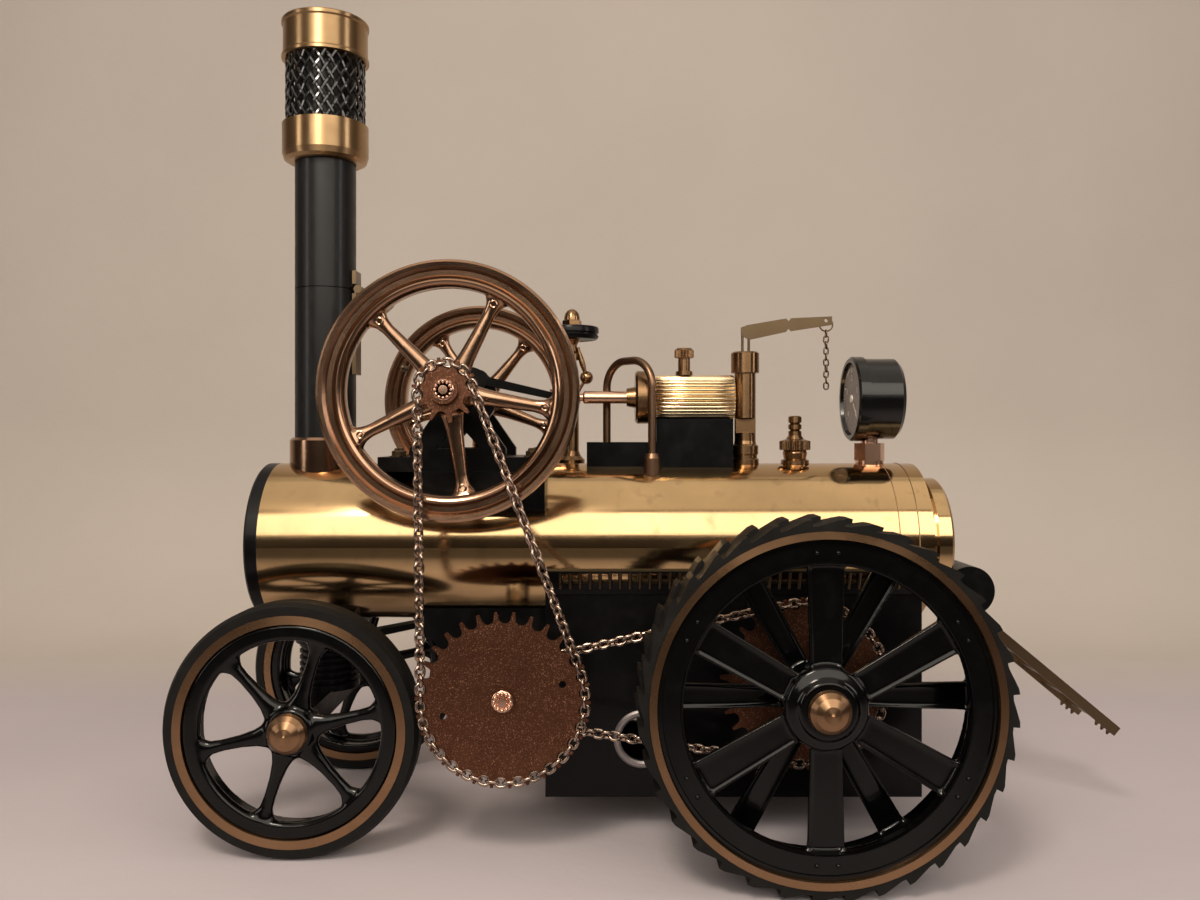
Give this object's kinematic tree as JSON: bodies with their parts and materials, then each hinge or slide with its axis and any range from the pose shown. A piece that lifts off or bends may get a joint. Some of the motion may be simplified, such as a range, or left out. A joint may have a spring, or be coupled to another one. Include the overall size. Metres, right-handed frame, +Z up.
{
  "type": "model steam locomobile",
  "caption": "Model live-steam locomobile: brass boiler on spoked wheels, crankshaft with flywheels, chain drive to the rear axle, governor and folding chimney.",
  "frame": {"origin": "on the floor, in the middle of the length and the width", "axes": "+X to the front of the vehicle, +Y to its left side, +Z up"},
  "size_m": [0.3346, 0.1716, 0.2958],
  "materials": {
    "polished_brass": "polished",
    "satin_black": "satin",
    "gloss_black": "gloss",
    "bronze": "aged satin",
    "copper": "polished copper",
    "bright_steel": "turned",
    "rubber": "matte",
    "dial": "matte"
  },
  "bodies": {
    "engine": {"boiler_shell": "polished_brass", "smokebox_front": "satin_black", "boiler_rear_cap": "polished_brass", "firebox": "satin_black", "port_rings": "bright_steel", "layshaft_frame": "satin_black", "front_saddle": "satin_black", "drive_chain_first": "bronze", "drive_chain_second": "bronze", "engine_bed": "satin_black", "crank_pedestals": "satin_black", "connecting_rod": "satin_black", "cylinder_block": "satin_black", "cylinder_jacket": "copper", "cylinder_cover": "polished_brass", "piston_guide": "polished_brass", "oiler": "polished_brass", "steam_pipe": "copper", "governor_column": "polished_brass", "whistle": "polished_brass", "whistle_lever": "bronze", "whistle_chain": "bronze", "safety_valve": "polished_brass", "gauge_case": "gloss_black", "gauge_stem": "copper", "gauge_dial": "dial", "chimney_foot": "copper", "chimney_lower": "satin_black", "hinge_lower": "bronze", "arm_bracket": "satin_black", "rear_arm": "bronze"},
    "carriage": {"front_carriage": "satin_black"},
    "front_wheel_left": {"front_wheel_left": "gloss_black", "front_trim_left": "bronze", "front_tyre_left": "rubber"},
    "front_wheel_right": {"front_wheel_right": "gloss_black", "front_trim_right": "bronze", "front_tyre_right": "rubber"},
    "crank": {"crankshaft": "bright_steel", "flywheel_left": "copper", "flywheel_right": "copper", "crank_sprocket": "bronze", "crank_disc": "satin_black"},
    "layshaft": {"layshaft": "bright_steel", "layshaft_large_sprocket": "bronze", "layshaft_small_sprocket": "bronze"},
    "rear_wheels": {"rear_axle": "bright_steel", "rear_sprocket": "bronze", "rear_wheel_left": "gloss_black", "rear_wheel_right": "gloss_black", "rear_tyre_left": "rubber", "rear_tyre_right": "rubber", "rear_trim": "bronze"},
    "governor": {"governor_head": "polished_brass"},
    "chimney_top": {"chimney_upper": "satin_black", "chimney_cup": "polished_brass", "chimney_cage": "satin_black", "chimney_crown": "polished_brass", "hinge_upper": "bronze"}
  },
  "joints": [
    {"name": "steering", "type": "hinge", "parent": "engine", "child": "carriage", "pos_m": [0.1249, 0, 0.0624], "axis": [0, 0, 1], "range_deg": [-15, 15]},
    {"name": "front_wheel_left_spin", "type": "hinge", "parent": "carriage", "child": "front_wheel_left", "pos_m": [0.1249, 0.045, 0.0424], "axis": [0, 1, 0], "continuous": true},
    {"name": "front_wheel_right_spin", "type": "hinge", "parent": "carriage", "child": "front_wheel_right", "pos_m": [0.1249, -0.045, 0.0424], "axis": [0, 1, 0], "continuous": true},
    {"name": "crank_spin", "type": "hinge", "parent": "engine", "child": "crank", "pos_m": [0.0731, 0, 0.1546], "axis": [0, 1, 0], "continuous": true, "deforming": ["drive_chain_first"]},
    {"name": "layshaft_spin", "type": "hinge", "parent": "engine", "child": "layshaft", "pos_m": [0.0542, 0, 0.0542], "axis": [0, 1, 0], "continuous": true, "deforming": ["drive_chain_second"]},
    {"name": "rear_wheel_spin", "type": "hinge", "parent": "engine", "child": "rear_wheels", "pos_m": [-0.0457, 0, 0.0574], "axis": [0, 1, 0], "continuous": true},
    {"name": "governor_spin", "type": "hinge", "parent": "engine", "child": "governor", "pos_m": [0.0335, -0.013, 0.16], "axis": [0, 0, 1], "continuous": true},
    {"name": "chimney_fold", "type": "hinge", "parent": "engine", "child": "chimney_top", "pos_m": [0.1135, 0, 0.195], "axis": [0, -1, 0], "range_deg": [0, 90]}
  ],
  "couplings": [
    {"joint": "layshaft_spin", "follows": "crank_spin", "ratio": 0.33333},
    {"joint": "rear_wheel_spin", "follows": "crank_spin", "ratio": 0.11111}
  ]
}
